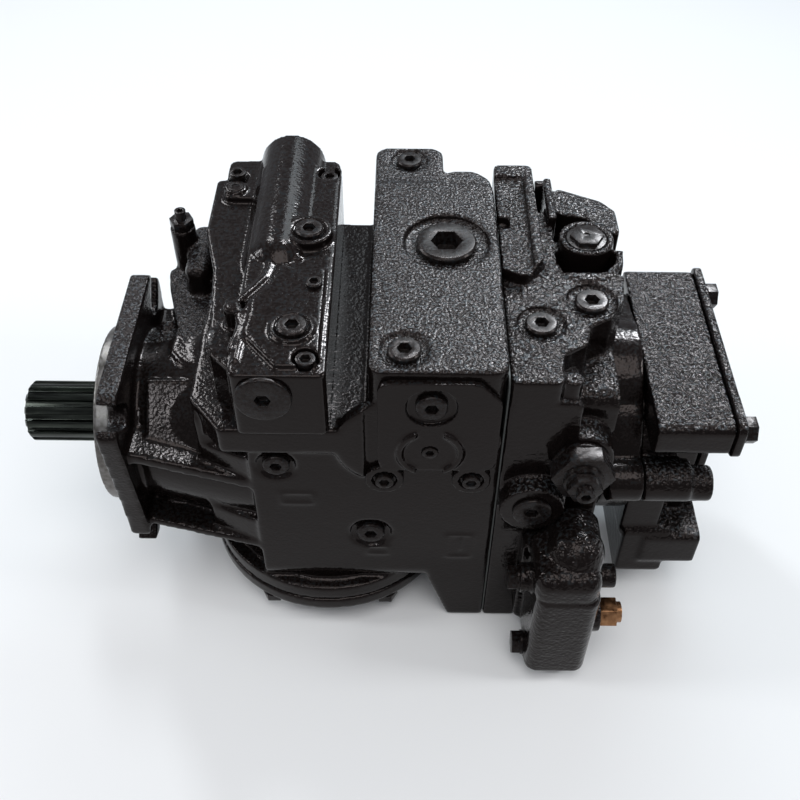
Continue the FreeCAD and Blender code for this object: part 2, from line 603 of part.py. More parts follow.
def control_block():
    """Casting of the displacement control, with the spool's barrel along its back half."""
    y0, y1 = CONTROL_Y0, CONTROL_Y1
    base = DECK_Z + GASKET
    main = block(CONTROL_X0, CONTROL_X1, y0, y1, base, CONTROL_TOP, 5.0, "Z")
    outline = [(78, -60), (95, -78), (95, y1), (60, y1), (60, 60), (70, 20)]
    shoulder = rounded(prism(outline, base, CONTROL_SHOULDER_TOP), 3.0, "Z")
    length = SPOOL_BACK_Y - SPOOL_FRONT_Y
    barrel = rod("Y", (SPOOL_X, SPOOL_FRONT_Y, SPOOL_BARREL_Z), length, SPOOL_BARREL_R)
    nose = Part.makeSphere(SPOOL_BARREL_R, vec(SPOOL_X, SPOOL_FRONT_Y, SPOOL_BARREL_Z))
    back = block(68.0, CONTROL_X1 - 2, 93.0, 140.0, base, CONTROL_LEDGE_TOP, 6.0, "Z")
    corner_pad = [(122, -86), (147, -86), (147, 6), (130, 2), (116, 8), (112, -12), (103, -24), (101, -60)]
    raised = rounded(prism(corner_pad, CONTROL_TOP - 2, CONTROL_TOP + 3), 3.0, "Z")
    ring_a = rod("Z", (*CONTROL_PLUG_A, 120.0), CONTROL_PLUG_A_TOP + 2 - 120.0, 15.5)
    ring_b = rod("Z", (*CONTROL_PLUG_B, 120.0), CONTROL_PLUG_B_TOP + 2 - 120.0, 13.5)
    body = fuse([main, shoulder, barrel, nose, back, raised, ring_a, ring_b])
    tools = [
        rod("Y", (SPOOL_X, y0 - 1, SPOOL_Z), SPOOL_BACK_Y - y0 + 4.0, SPOOL_R + RUNNING),
        rod("Y", (SPOOL_X, y0 - 1, SPOOL_Z), 15.0, 12.0 + FIT),
        rod("Y", (SPOOL_X, SPOOL_BACK_Y - 14.0, SPOOL_Z), 20.0, 12.0 + FIT),
    ]
    for place, top in ((CONTROL_PLUG_A, CONTROL_PLUG_A_TOP), (CONTROL_PLUG_B, CONTROL_PLUG_B_TOP)):
        tools.append(rod("Z", (*place, top), 8.0, 11.5))
        tools.append(rod("Z", (*place, top - 7.5), 12.0, 6.5 + FIT))
    for centre, axis, sign in control_screw_places():
        tools.append(cylinder_at(centre, axis, sign, -70, 1, 4.0 + FIT))
        tools.append(cylinder_at(centre, axis, sign, 0, 40, 8.0))
    for centre, axis, sign, radius in CONTROL_SMALL_PLUGS:
        tools.append(plug_hole(centre, axis, sign, radius * 0.62, SMALL_PLUG_SHANK))
    return cut(body, tools)


def control_gasket():
    sheet = block(96.0, 150.0, CONTROL_Y0 + 4, CONTROL_Y1 - 1, DECK_Z, DECK_Z + GASKET, 6.0, "Z")
    back = CONTROL_Y1 - 1
    side = prism([(80, -40), (100, -40), (100, back), (66, back), (66, 40)], DECK_Z, DECK_Z + GASKET)
    holes = [rod("Z", (x, y, DECK_Z - 1), 3.0, 4.0 + FIT) for x, y in CONTROL_SCREWS]
    holes.append(rod("Z", (TILT_X, 0, DECK_Z - 1), 3.0, 6.0))
    return cut(sheet.fuse(side), holes)


def spool_end_caps():
    front = socket_plug((SPOOL_X, CONTROL_Y0, SPOOL_Z), "Y", -1, 17.5, 3.5, 12.0, 13.0, 9.0)
    back = socket_plug((SPOOL_X, SPOOL_BACK_Y, SPOOL_Z), "Y", 1, 17.5, 3.5, 12.0, 13.0, 9.0)
    return group([front, back])


def control_spool():
    body = rod("Y", (SPOOL_X, -SPOOL_HALF, SPOOL_Z), 2 * SPOOL_HALF, 6.0)
    for y in (-SPOOL_HALF, -22.0, -5.0, 12.0, SPOOL_HALF - 12.0):
        body = body.fuse(rod("Y", (SPOOL_X, y, SPOOL_Z), 12.0, SPOOL_R))
    return body.removeSplitter()


def neutral_adjuster():
    """Threaded stud with a lock nut on the post behind the mounting flange."""
    x, y = ADJUSTER_X, ADJUSTER_Y
    screw = rod("Z", (x, y, ADJUSTER_TOP - 20.0), 34.0, 4.0)
    nut = hexagon("Z", (x, y, ADJUSTER_TOP), 7.0, 15.0)
    return cut(fuse([screw, nut]), [hexagon("Z", (x, y, ADJUSTER_TOP + 10.0), 5.0, 4.0)])


def large_socket_plugs():
    service = (*SERVICE_PLUG, TALL_TOP - SERVICE_DEPTH)
    return group([
        socket_plug(service, "Z", 1, SERVICE_HEAD_R, 5.0, 14.0, SERVICE_SHANK, SERVICE_SOCKET),
        boss_plug(),
    ])


def boss_plug():
    """Plug with an external hexagon head and a collar, in the end cap's tall boss."""
    seat = vec(*BOSS_PLUG, BOSS_TOP - 3)
    parts = [
        rod("Z", seat - vec(0, 0, 18), 18.0, 10.0),
        rod("Z", seat, 2.0, 13.5),
        hexagon("Z", seat, 5.0, 20.0),
    ]
    return cut(fuse(parts), [rod("Z", seat + vec(0, 0, 4), 3.0, 2.0)])


def socket_plugs():
    """Small hexagon-socket plugs of the castings, each in its spot face."""
    plugs = []
    for centre, axis, sign, radius in SMALL_PLUGS:
        shank_r = radius * 0.62
        seat = plug_seat(centre, axis, sign, radius)
        sizes = (radius, SMALL_PLUG_HEAD, shank_r, SMALL_PLUG_SHANK, radius * 0.8)
        plugs.append(socket_plug(seat, axis, sign, *sizes))
    for centre, axis, sign, radius in CONTROL_SMALL_PLUGS:
        plugs.append(socket_plug(centre, axis, sign, radius, 3.0, radius * 0.62, SMALL_PLUG_SHANK, radius))
    for place, top in ((CONTROL_PLUG_A, CONTROL_PLUG_A_TOP), (CONTROL_PLUG_B, CONTROL_PLUG_B_TOP)):
        plugs.append(socket_plug((*place, top), "Z", 1, 9.5, 3.5, 6.5, 7.0, 8.0))
    plugs.append(socket_plug((SERVO_X, SERVO_FACE_Y + 3, SERVO_PLUG_Z), "Y", -1, 10.0, 4.0, 6.5, 7.0, 8.0))
    return group(plugs)


def multifunction_valve(centre, sign):
    """Cartridge relief valve: hexagon body, jam nut and adjusting screw on one axis."""
    normal = toward("Y", sign)
    start = vec(*centre)
    parts = [
        cylinder_at(centre, "Y", sign, -38.0, 0, 12.0),
        cylinder_at(centre, "Y", sign, 0, 3.0, 19.0),
        hexagon("Y", start + normal * 3.0, 12.0, 36.0, sign),
        cylinder_at(centre, "Y", sign, 15.0, 19.0, 13.0),
        hexagon("Y", start + normal * 19.0, 6.0, 20.0, sign),
        cylinder_at(centre, "Y", sign, 25.0, 30.0, 6.0),
    ]
    return cut(fuse(parts), [hexagon("Y", start + normal * 26.0, 6.0, 6.0, sign)])


def charge_relief_valve():
    """Cartridge of the charge pressure relief valve, flush in its round boss."""
    x, y, z = RELIEF
    return socket_plug((x, y - RELIEF_BOSS_LENGTH, z), "Y", -1, 13.0, 3.0, 9.0, 32.0, 8.0)


def hose_bracket():
    """Bent strap for a hose clip, held at the back of the end cap."""
    foot = block(266.0, 297.0, BACK_Y, BACK_Y + 10.0, 66.0, 98.0, 4.0, "Y")
    post = block(293.0, 303.0, BACK_Y, BACK_Y + 36.0, 83.0, 95.0, 3.0, "Z")
    ear = block(293.0, 303.0, BACK_Y + 31, BACK_Y + 40.0, 83.0, 122.0, 4.0, "X")
    return cut(fuse([foot, post, ear]), [cylinder_at(BRACKET_BOLT, "Y", 1, -12, 1, 5.0 + FIT)])


def shaft_seal():
    return ring("X", (-6.6, 0, 0), 13.0, 34.0 - RUNNING, SEAL_JOURNAL_R + RUNNING)


def seal_retainer():
    plate = ring("X", (-PILOT_LENGTH + 1.0, 0, 0), 5.0, 52.0 - FIT, 27.0)
    return cut(plate, [rod("X", (-PILOT_LENGTH, y, z), 4.0, 3.5) for _, y, z in ring_of(3, 40.0, 30)])


def drive_shaft():
    spline = rod("X", (SHAFT_TIP_X, 0, 0), 57.0, SPLINE_R)
    spline = spline.makeChamfer(2.0, [e for e in spline.Edges if abs(e.CenterOfMass.x - SHAFT_TIP_X) < 0.01])
    gap = 2 * math.pi * 20.5 / SPLINE_TEETH * 0.5
    gaps = []
    for degrees, _, _ in ring_of(SPLINE_TEETH, 1.0):
        root, mouth = gap * 0.40, gap * 0.72
        profile = [(SPLINE_ROOT_R, -root), (SPLINE_ROOT_R, root), (24.0, mouth), (24.0, -mouth)]
        face = Part.Face(Part.makePolygon([vec(SHAFT_TIP_X - 1, y, z) for y, z in profile + profile[:1]]))
        gaps.append(spin(face.extrude(vec(54.0, 0, 0)), degrees + 8))
    spline = cut(spline, gaps)
    steps = [
        (-18.0, 15.0, SEAL_JOURNAL_R),
        (15.0, 50.0, 25.0),
        (50.0, 262.0, SHAFT_R),
        (262.0, 290.0, 13.0),
        (290.0, CHARGE_X1 - 2.5, 9.0),
    ]
    body = fuse([spline] + [rod("X", (x0, 0, 0), x1 - x0, r) for x0, x1, r in steps])
    centre_hole = cone("X", (SHAFT_TIP_X - 0.01, 0, 0), 8.0, 5.0, 0.5)
    return cut(body, [centre_hole])


def front_bearing_outer():
    return ring("X", (18.0, 0, 0), 30.0, 46.0, 38.5)


def front_bearing_inner():
    pieces = [ring("X", (18.0, 0, 0), 30.0, 30.0, 25.0 + 0.02)]
    for _, y, z in ring_of(14, 34.2):
        pieces.append(rod("X", (21.0, y, z), 24.0, 4.1))
    return group(pieces)


def rear_bearing():
    return ring("X", (SPLIT_X + 4, 0, 0), 26.0, 19.0, 13.0 + RUNNING)


def valve_plate():
    plate = ring("X", (SPLIT_X - 4.0, 0, 0), 4.0, BLOCK_R - 1, 20.0)
    slots = []
    for side in (0, 180):
        arc = ring("X", (SPLIT_X - 5, 0, 0), 6.0, BORE_PITCH_R + 5, BORE_PITCH_R - 5)
        wedge = prism([(SPLIT_X - 5, 8), (SPLIT_X + 1, 8), (SPLIT_X + 1, 60), (SPLIT_X - 5, 60)], -60.0, 60.0)
        slots.append(spin(arc.common(wedge), side))
    return cut(plate, slots)


def cylinder_block():
    body = rod("X", (BLOCK_X0, 0, 0), SPLIT_X - 4.1 - BLOCK_X0, BLOCK_R)
    body = body.makeChamfer(2.0, [e for e in body.Edges if abs(e.CenterOfMass.x - BLOCK_X0) < 0.01])
    start = (BLOCK_X0 - 1, 0, 0)
    tools = [rod("X", start, 120.0, SHAFT_R + 0.02), rod("X", start, 31.0, 25.5)]
    depth = SPLIT_X - 18.0 - BLOCK_X0
    for _, y, z in ring_of(PISTONS, BORE_PITCH_R):
        tools.append(rod("X", (BLOCK_X0 - 1, y, z), depth, BORE_R))
        tools.append(rod("X", (BLOCK_X0, y, z), 120.0, 5.0))
    return cut(body, tools)


def block_spring():
    return ring("X", (BLOCK_X0 + 2, 0, 0), 26.0, 25.0, SHAFT_R + 2.0)


def piston(y, z):
    length = SPLIT_X - 46.0 - TILT_X
    skirt = rod("X", (TILT_X + 16.0, y, z), length - 16.0, PISTON_R)
    neck = cone("X", (TILT_X + 4.0, y, z), 12.5, 5.5, 8.5)
    ball = Part.makeSphere(PISTON_BALL_R, vec(TILT_X, y, z))
    body = fuse([skirt, neck, ball])
    return cut(body, [rod("X", (TILT_X + 50.0, y, z), 80.0, 6.0), rod("X", (TILT_X - 9, y, z), 80.0, 1.5)])


def slipper(y, z):
    x0 = TILT_X - SLIPPER_FACE
    foot = rod("X", (x0, y, z), SLIPPER_FLANGE, SLIPPER_R)
    neck = rod("X", (x0, y, z), SLIPPER_FACE + 3.0, SLIPPER_NECK_R)
    socket = Part.makeSphere(PISTON_BALL_R + RUNNING, vec(TILT_X, y, z))
    return cut(fuse([foot, neck]), [socket, rod("X", (x0 - 1, y, z), 20.0, 1.5)])


def slipper_retainer():
    x0 = TILT_X - SLIPPER_FACE + SLIPPER_FLANGE + RETAINER_GAP
    plate = ring("X", (x0, 0, 0), RETAINER_THICK, 55.5, 26.5)
    necks = ring_of(PISTONS, PISTON_PITCH_R)
    return cut(plate, [rod("X", (x0 - 1, y, z), 9.0, SLIPPER_NECK_R + 0.3) for _, y, z in necks])


def swashplate():
    x1 = TILT_X - SLIPPER_FACE - RUNNING
    x0 = x1 - 19.0
    plate = rod("X", (x0, 0, 0), x1 - x0, 58.0)
    arms = [box(x0, TILT_X + 18, -18.0, 18.0, z0, z1) for z0, z1 in ((57.0, 64.5), (-66.0, -57.0))]
    links = [box(x0, x1, -18.0, 18.0, z0, z1) for z0, z1 in ((50.0, 64.5), (-66.0, -50.0))]
    top = rod("Z", (TILT_X, 0, 57.0), TRUNNION_TOP_Z - 57.0, TRUNNION_R)
    low = rod("Z", (TILT_X, 0, TRUNNION_LOW_Z), -57.0 - TRUNNION_LOW_Z, TRUNNION_R)
    arm = box(TILT_X, SERVO_X, -9.0, 9.0, 57.0, 64.5)
    pad = rod("Z", (SERVO_X, 0, 57.0), 7.5, 10.0)
    pin = rod("Z", (SERVO_X, 0, 57.0), 27.0, ARM_PIN_R)
    body = fuse([plate, top, low, arm, pad, pin] + arms + links)
    return cut(body, [cone("X", (x0 - 0.5, 0, 0), x1 - x0 + 1.0, 34.0, 26.0)])


def trunnion_bearings():
    top = ring("Z", (TILT_X, 0, ROOF_Z), TRUNNION_TOP_Z - ROOF_Z, TRUNNION_SHELL_R, TRUNNION_R + RUNNING)
    low = ring("Z", (TILT_X, 0, TRUNNION_LOW_Z - 2), 26.0, TRUNNION_SHELL_R, TRUNNION_R + RUNNING)
    return group([top, low])


def servo_piston():
    body = rod("Y", (SERVO_X, -SERVO_HALF, SERVO_Z), 2 * SERVO_HALF, SERVO_R)
    slot = box(SERVO_X - 12.5, SERVO_X + 12.5, -ARM_PIN_R - 0.3, ARM_PIN_R + 0.3, 60.0, 86.0)
    flat = box(SERVO_X - 12.5, SERVO_X + 12.5, -12.0, 12.0, 60.0, 70.0)
    ends = [rod("Y", (SERVO_X, y, SERVO_Z), 20.0, 15.0) for y in (-SERVO_HALF - 1, SERVO_HALF - 19)]
    return cut(body, [slot, flat] + ends)


def charge_pump_housing():
    """Round casting between the end cap and the rear unit, with one barrel of the filter passage."""
    disc = rod("X", (CHARGE_X0, 0, 0), CHARGE_X1 - CHARGE_X0, CHARGE_DISC_R)
    disc = rounded_rims(disc, 3.0)
    barrel = rod("X", (CHARGE_X0 + 1, BARREL_Y, BARREL_Z), CHARGE_X1 - CHARGE_X0 - 1, BARREL_R)
    tools = [
        rod("X", (CHARGE_X0 - 1, 0, 0), 3.5, 12.0),
        rod("X", (CHARGE_X0 + 2.0, 0, 0), 21.0, 40.0),
    ]
    tools += [rod("X", (CHARGE_X0 - 1, y, z), 40.0, 4.0 + FIT) for _, y, z in ring_of(6, CHARGE_BOLT_R, 5)]
    return cut(fuse([disc, barrel]), tools)


def rounded_rims(shape, radius):
    circles = [e for e in shape.Edges if e.Closed and e.Length > 1.0 and len(e.Vertexes) == 1]
    return shape.makeFillet(radius, circles)


def charge_ring():
    """Eccentric ring that carries the charge pump's outer rotor."""
    outer = rod("X", (CHARGE_X0 + 2.5, 0, 0), 20.0, 40.0 - FIT)
    return cut(outer, [rod("X", (CHARGE_X0 + 2, CHARGE_OFFSET, 0), 21.0, CHARGE_OUTER_R + RUNNING)])


def lobe_wire(x, base_r, lobe, count, offset):
    """Smooth closed outline with count lobes about (offset, 0) in Y and Z."""
    points = []
    steps = count * 16
    for i in range(steps):
        angle = 2 * math.pi * i / steps
        radius = base_r + lobe * math.cos(count * angle)
        points.append(vec(x, offset + radius * math.cos(angle), radius * math.sin(angle)))
    curve = Part.BSplineCurve()
    curve.interpolate(points, PeriodicFlag=True)
    return Part.Wire([curve.toShape()])


def charge_pump_inner_rotor():
    face = Part.Face(lobe_wire(CHARGE_X0 + 3.0, CHARGE_INNER_R, CHARGE_LOBE, CHARGE_TEETH, 0.0))
    return cut(face.extrude(vec(18.5, 0, 0)), [rod("X", (CHARGE_X0, 0, 0), 30.0, 9.02)])


def charge_pump_outer_rotor():
    outer = rod("X", (CHARGE_X0 + 3.0, CHARGE_OFFSET, 0), 18.5, CHARGE_OUTER_R)
    lobes = CHARGE_TEETH + 1
    outline = lobe_wire(CHARGE_X0 + 2.0, CHARGE_POCKET_R, -CHARGE_POCKET_LOBE, lobes, CHARGE_OFFSET)
    return cut(outer, [Part.Face(outline).extrude(vec(21.0, 0, 0))])


def rear_unit():
    """Rear casting: a deep box across the top, the stepped barrel in front and the block below."""
    x0, x1 = CHARGE_X1, REAR_X1
    top = block(x0, x1, -77.0, 84.0, 46.0, 72.0, 6.0, "X")
    middle = block(x0, x1, -34.0, 70.0, -72.0, 60.0, 10.0, "X")
    facet = block(x0, x0 + 28, -56.0, 70.0, -72.0, 20.0, 8.0, "X")
    hub = rod("X", (x0, 0, 0), 26.0, 60.0)
    lower = block(x0 + 19, x1 + 10, -62.0, 34.0, -100.0, -66.0, 5.0, "X")
    heel = block(x0 + 3, x0 + 38, -60.0, 34.0, -116.0, -60.0, 6.0, "X")
    barrel = rod("X", (x0, BARREL_Y, BARREL_Z), 32.0, BARREL_R)
    nose = rod("X", (x0 + 20, BARREL_Y, BARREL_Z - 3), 28.0, BARREL_R - 2.5)
    body = fuse([top, middle, facet, hub, lower, heel, barrel, nose])
    tools = [block(x0 + 14, x1 + 1, -26.0, 56.0, -40.0, 50.0, 8.0, "X")]
    tools += [rod("X", (x1 - 20.0, y, z), 30.0, 5.0 + FIT) for y, z in REAR_BOLTS]
    tools += [rod("X", (x0 - 1, y, z), 9.0, 9.0) for _, y, z in ring_of(6, CHARGE_BOLT_R, 5)]
    return cut(body, tools)


def rear_cover():
    x0, length = REAR_X1, COVER_X1 - REAR_X1
    top = block(x0, COVER_X1, -78.5, 86.0, 44.0, 75.0, 7.0, "X")
    middle = block(x0, COVER_X1, -35.0, 72.0, -65.0, 60.0, 10.0, "X")
    tools = [rod("X", (x0 - 1, y, z), length + 2, 5.0 + FIT) for y, z in REAR_BOLTS]
    return cut(fuse([top, middle]), tools)


def filter_adapter():
    """Elbow casting of the charge inlet, with its mouth facing down."""
    x0, x1, y0, z0 = ADAPTER_X0, ADAPTER_X1, ADAPTER_Y0, ADAPTER_Z0
    shapes = [
        block(x0 + 2, x1, y0, -92.0, z0 + 12, -34.0, 9.0, "Z"),
        block(x0, x1 - 1, y0 + 1, -90.0, -40.0, -9.0, 11.0, "XYZ"),
        Part.makeSphere(20.0, vec(x1 - 18, y0 + 30, -14.0)),
        rod("Y", (x1 - 18, y0 + 30, -16.0), FRONT_Y - y0 - 31, 19.0),
        block(x0 + 8, x1 - 6, y0 + 7, -96.0, z0, z0 + 30, 7.0, "Z"),
        block(x0 - 4, x1 + 1, FRONT_Y - 12, FRONT_Y, -124.0, -26.0, 8.0, "Y"),
        rod("X", (x1 - 6, INLET_Y, FITTING_Z), 13.0, 14.0),
        rod("X", (x1 - 6, INLET_Y + 4, -41.0), 19.0, 8.5),
    ]
    body = fuse(shapes)
    for x, y, z in ADAPTER_BOLTS:
        body = body.fuse(rod("X", (x, y, z), x0 + 12 - x, 10.5)).removeSplitter()
    tools = [
        rod("Z", (INLET_X, INLET_Y, z0 - 1), INLET_DEPTH + 1, INLET_R),
        rod("X", (x1 - 8, INLET_Y, FITTING_Z), 30.0, 7.0 + FIT),
    ]
    return cut(body, tools + screw_holes(adapter_bolt_places(), 10.0, ADAPTER_BOLT_LENGTH + 0.5))


def brass_fitting():
    """Hexagon fitting with a thin port bore in the adapter's side boss."""
    x0 = ADAPTER_X1 + 7
    parts = [
        rod("X", (x0 - 14, INLET_Y, FITTING_Z), 14.0, 7.0),
        hexagon("X", (x0, INLET_Y, FITTING_Z), 12.0, 20.0),
        rod("X", (x0 + 12, INLET_Y, FITTING_Z), 4.0, 7.5),
    ]
    return cut(fuse(parts), [rod("X", (x0, INLET_Y, FITTING_Z), 40.0, 4.0)])


def cap_screws_m8():
    """Socket screws of the servo cover and of the control block."""
    screws = [cap_screw(c, a, s, 8.0, SERVO_SCREW_DEPTH, 5.0) for c, a, s in servo_screw_places()]
    for centre, axis, sign in control_screw_places():
        screws.append(cap_screw(centre, axis, sign, 8.0, centre[2] - DECK_Z + CONTROL_SCREW_DEPTH, 7.0))
    return group(screws)


def cap_screws_m12():
    length = CAP_SCREW_X - SPLIT_X + CAP_SCREW_DEPTH
    return group([cap_screw(c, a, s, 12.0, length, 12.0) for c, a, s in cap_screw_places()])


def hex_bolts_m10():
    bolts = [hex_bolt(c, a, s, 10.0, 6.5, COVER_THICK + 12.0) for c, a, s in cover_bolt_places()]
    bolts += [hex_bolt(c, a, s, 10.0, 6.5, ADAPTER_BOLT_LENGTH) for c, a, s in adapter_bolt_places()]
    bolts += [hex_bolt(c, a, s, 10.0, 7.0, COVER_X1 - REAR_X1 + 19.5) for c, a, s in rear_bolt_places()]
    bolts.append(hex_bolt(BRACKET_BOLT, "Y", 1, 10.0, 6.5, 30.0))
    return group(bolts)


def hex_bolts_m8():
    length = CHARGE_X1 - CHARGE_X0 + 20.0
    return group([hex_bolt(c, a, s, 8.0, 5.5, length) for c, a, s in charge_bolt_places()])


def write(nodes):
    os.makedirs("parts", exist_ok=True)
    for name, shape in nodes.items():
        if not shape.isValid():
            print("not valid:", name)
        shape.exportStep("parts/" + name + ".step")
        print(name, "solids", len(shape.Solids), "volume", round(shape.Volume))


def main():
    nodes = {
        "pump_housing": pump_housing(),
        "end_cap": end_cap(),
        "end_cap_gasket": end_cap_gasket(),
        "control_block": control_block(),
        "control_gasket": control_gasket(),
        "spool_end_caps": spool_end_caps(),
        "neutral_adjuster": neutral_adjuster(),
        "bottom_cover": bottom_cover(),
        "trunnion_bearings": trunnion_bearings(),
        "servo_cover": servo_cover(),
        "servo_adjuster": servo_adjuster(),
        "large_socket_plugs": large_socket_plugs(),
        "socket_plugs": socket_plugs(),
        "hose_bracket": hose_bracket(),
        "multifunction_valve_front": multifunction_valve(VALVE_FRONT, -1),
        "multifunction_valve_back": multifunction_valve(VALVE_BACK, 1),
        "charge_relief_valve": charge_relief_valve(),
        "shaft_seal": shaft_seal(),
        "seal_retainer": seal_retainer(),
        "front_bearing_outer": front_bearing_outer(),
        "rear_bearing": rear_bearing(),
        "valve_plate": valve_plate(),
        "charge_pump_housing": charge_pump_housing(),
        "charge_ring": charge_ring(),
        "rear_unit": rear_unit(),
        "rear_cover": rear_cover(),
        "filter_adapter": filter_adapter(),
        "brass_fitting": brass_fitting(),
        "cap_screws_m8": cap_screws_m8(),
        "cap_screws_m12": cap_screws_m12(),
        "hex_bolts_m10": hex_bolts_m10(),
        "hex_bolts_m8": hex_bolts_m8(),
        "drive_shaft": drive_shaft(),
        "front_bearing_inner": front_bearing_inner(),
        "cylinder_block": cylinder_block(),
        "block_spring": block_spring(),
        "charge_pump_inner_rotor": charge_pump_inner_rotor(),
        "charge_pump_outer_rotor": charge_pump_outer_rotor(),
        "swashplate": swashplate(),
        "slipper_retainer": slipper_retainer(),
        "servo_piston": servo_piston(),
        "control_spool": control_spool(),
    }
    for number, (_, y, z) in enumerate(ring_of(PISTONS, PISTON_PITCH_R), start=1):
        nodes[f"piston_{number}"] = piston(y, z)
        nodes[f"slipper_{number}"] = slipper(y, z)
    write(nodes)


main()
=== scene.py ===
"""Axial piston pump: finished castings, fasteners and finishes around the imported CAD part.

Coordinates are the frame's own: X along the shaft from the mounting flange to the rear cover, Y away
from the photograph's camera, Z up. Blender works in metres; values marked mm are scaled by MM.
"""
import json
import math
import bmesh
import bpy
import numpy as np
from mathutils import Matrix, Vector


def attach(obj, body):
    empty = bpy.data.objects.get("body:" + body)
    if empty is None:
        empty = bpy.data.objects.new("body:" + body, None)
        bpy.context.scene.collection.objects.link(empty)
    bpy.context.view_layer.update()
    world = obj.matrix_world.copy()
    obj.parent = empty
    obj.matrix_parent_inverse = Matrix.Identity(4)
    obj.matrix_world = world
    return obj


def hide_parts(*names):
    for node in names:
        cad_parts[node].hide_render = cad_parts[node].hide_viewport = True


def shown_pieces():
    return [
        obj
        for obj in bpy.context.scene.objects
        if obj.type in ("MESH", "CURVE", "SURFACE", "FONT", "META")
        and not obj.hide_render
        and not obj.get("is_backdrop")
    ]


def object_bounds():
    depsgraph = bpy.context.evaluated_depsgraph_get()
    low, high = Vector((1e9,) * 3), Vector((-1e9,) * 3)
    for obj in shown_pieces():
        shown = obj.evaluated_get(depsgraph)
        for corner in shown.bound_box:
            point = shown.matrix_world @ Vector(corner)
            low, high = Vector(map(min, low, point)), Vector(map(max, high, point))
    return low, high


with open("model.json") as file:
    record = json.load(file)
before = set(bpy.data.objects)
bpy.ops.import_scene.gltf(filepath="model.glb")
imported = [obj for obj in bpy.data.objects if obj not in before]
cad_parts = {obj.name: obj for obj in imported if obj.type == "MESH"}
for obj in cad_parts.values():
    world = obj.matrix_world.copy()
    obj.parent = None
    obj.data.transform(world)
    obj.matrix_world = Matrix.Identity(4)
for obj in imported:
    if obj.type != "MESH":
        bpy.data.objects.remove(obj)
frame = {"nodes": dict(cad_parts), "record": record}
CAD_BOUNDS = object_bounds()
MM = 0.001
NODES = frame["nodes"]
SCENE = bpy.context.scene

# ---- places on the CAD part, in mm ----
FLANGE_FACE_X = 0.0
FLANGE_BACK_X = 15.0
PILOT_REACH = 66.0  # round the shaft; the turned register lies inside it
EAR_BACK_X, EAR_Y, EAR_Z = 62.0, 10.0, 55.0  # limits of the lug behind the flange's far ear
TALL_BLOCK_X, TALL_BLOCK_Z = 172.0, 84.0
HOUSING_FRONT_Y = -85.0
CONTROL_FRONT_Y = -84.0
CONTROL_TOP_Z = 133.6
CONTROL_STEP_Z = 118.0
CHARGE_PUMP_X = (337.0, 360.0)
CHARGE_CHAMBER_WALL_R = 50.0


# ---- materials ----
BLACK_PAINT = (0.0035, 0.0024, 0.0022)
# Painted dim glint: the paint a little lighter where grain tops would catch the light.
PAINTED_DIM_GLINT = (0.0075, 0.0056, 0.0052)
WARM_TINT = (1.0, 0.86, 0.82, 1)
BLOTCH_SCALE = 140.0
WAVE_SCALE = 170.0


def material(name, colour, rough, metallic=0.0, specular=0.5):
    mat = bpy.data.materials.new(name)
    mat.use_nodes = True
    shader = mat.node_tree.nodes["Principled BSDF"]
    shader.inputs["Base Color"].default_value = (*colour, 1)
    shader.inputs["Roughness"].default_value = rough
    shader.inputs["Metallic"].default_value = metallic
    shader.inputs["Specular IOR Level"].default_value = specular
    return mat, mat.node_tree, shader


def noise(tree, scale, detail=2.0, stretch=None):
    """Noise texture in the frame's own coordinates; scale is in waves per metre."""
    coords = tree.nodes.new("ShaderNodeTexCoord")
    node = tree.nodes.new("ShaderNodeTexNoise")
    node.inputs["Scale"].default_value = scale
    node.inputs["Detail"].default_value = detail
    source = coords.outputs["Object"]
    if stretch:
        mapping = tree.nodes.new("ShaderNodeMapping")
        mapping.inputs["Scale"].default_value = stretch
        tree.links.new(source, mapping.inputs["Vector"])
        source = mapping.outputs["Vector"]
    tree.links.new(source, node.inputs["Vector"])
    return node.outputs["Fac"]


def ramp(tree, value, stops):
    """Colour ramp over a value; stops are (position, colour or grey level)."""
    node = tree.nodes.new("ShaderNodeValToRGB")
    elements = node.color_ramp.elements
    while len(elements) < len(stops):
        elements.new(0.5)
    for element, (place, colour) in zip(elements, stops):
        element.position = place
        element.color = (*colour, 1) if isinstance(colour, tuple) else (colour, colour, colour, 1)
    tree.links.new(value, node.inputs["Fac"])
    return node.outputs["Color"]


def bump(tree, height, distance, under=None):
    """Normal of a relief that is distance metres high, over another relief's normal if there is one."""
    node = tree.nodes.new("ShaderNodeBump")
    node.inputs["Strength"].default_value = 1.0
    node.inputs["Distance"].default_value = distance
    tree.links.new(height, node.inputs["Height"])
    if under is not None:
        tree.links.new(under, node.inputs["Normal"])
    return node.outputs["Normal"]


def upward(tree, walls):
    """How far a surface looks up: from the value of walls on upright faces to 1 on top faces."""
    geometry = tree.nodes.new("ShaderNodeNewGeometry")
    parts = tree.nodes.new("ShaderNodeSeparateXYZ")
    tree.links.new(geometry.outputs["True Normal"], parts.inputs["Vector"])
    return ramp(tree, parts.outputs["Z"], [(0.25, walls), (0.75, 1.0)])


def times(tree, a, b):
    node = tree.nodes.new("ShaderNodeMath")
    node.operation = "MULTIPLY"
    tree.links.new(a, node.inputs[0])
    tree.links.new(b, node.inputs[1])
    return node.outputs["Value"]


